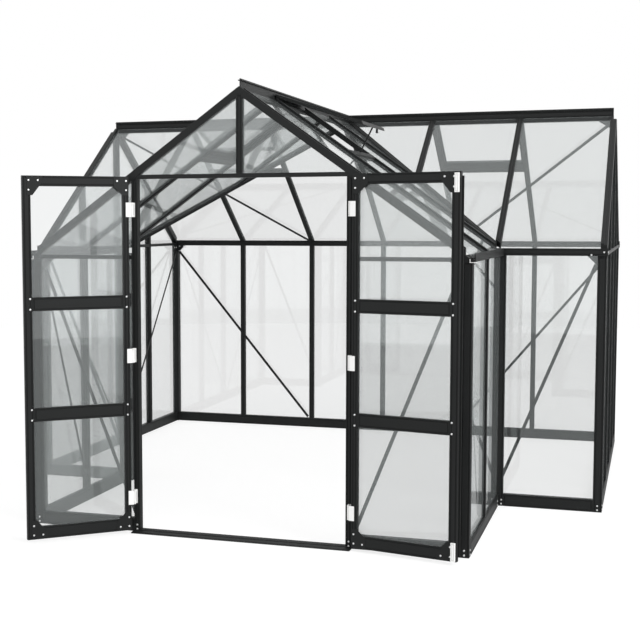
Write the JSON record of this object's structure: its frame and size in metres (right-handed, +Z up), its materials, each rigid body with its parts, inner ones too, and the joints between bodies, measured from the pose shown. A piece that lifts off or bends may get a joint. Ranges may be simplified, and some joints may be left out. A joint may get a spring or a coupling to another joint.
{
  "type": "glass greenhouse",
  "caption": "Aluminium-framed glass greenhouse with a gabled porch, opening roof windows and a pair of glazed doors that swing outwards.",
  "frame": {"origin": "on the ground in the middle of the doorway, half way through the thickness of the wall", "axes": "+Z up, +Y from the doors into the house, +X to the right seen from the front"},
  "size_m": [3.78, 4.2611, 2.542],
  "materials": {
    "frame": "satin black",
    "glass": "clear",
    "white_metal": "satin white",
    "steel": "satin"
  },
  "bodies": {
    "greenhouse": {"front_sill": "frame", "porch_side_sills": "frame", "main_sills": "frame", "porch_corner_posts": "frame", "door_posts": "frame", "junction_posts": "frame", "main_corner_posts": "frame", "back_wall_bars": "frame", "end_wall_bars": "frame", "porch_side_bars": "frame", "door_lintel": "frame", "gable_mullion": "frame", "eave_ties": "frame", "porch_eaves": "frame", "main_eaves": "frame", "main_ridge": "frame", "porch_ridge": "frame", "valley_beams": "frame", "porch_rafters": "frame", "end_rafters": "frame", "porch_roof_bars": "frame", "front_roof_bars": "frame", "back_roof_bars": "frame", "vent_sills": "frame", "vent_sashes": "frame", "vent_glass": "glass", "vent_stays": "steel", "wall_braces": "frame", "corner_plates": "frame", "roof_braces": "frame", "front_glass": "glass", "porch_side_glass": "glass", "end_wall_glass": "glass", "back_wall_glass": "glass", "back_roof_glass": "glass", "front_roof_glass": "glass", "porch_roof_glass": "glass", "door_hinge_brackets": "white_metal"},
    "left_door": {"left_door_frame": "frame", "left_door_glass": "glass", "left_door_hinges": "white_metal"},
    "right_door": {"right_door_frame": "frame", "right_door_glass": "glass", "right_door_hinges": "white_metal", "door_edge_strip": "frame"}
  },
  "joints": [
    {"name": "left_door_swing", "type": "hinge", "parent": "greenhouse", "child": "left_door", "pos_m": [-0.625, -0.045, 1.015], "axis": [0, 0, -1], "range_deg": [-139.5, 32.5]},
    {"name": "right_door_swing", "type": "hinge", "parent": "greenhouse", "child": "right_door", "pos_m": [0.625, -0.045, 1.015], "axis": [0, 0, 1], "range_deg": [-168.4, 3.6]}
  ]
}
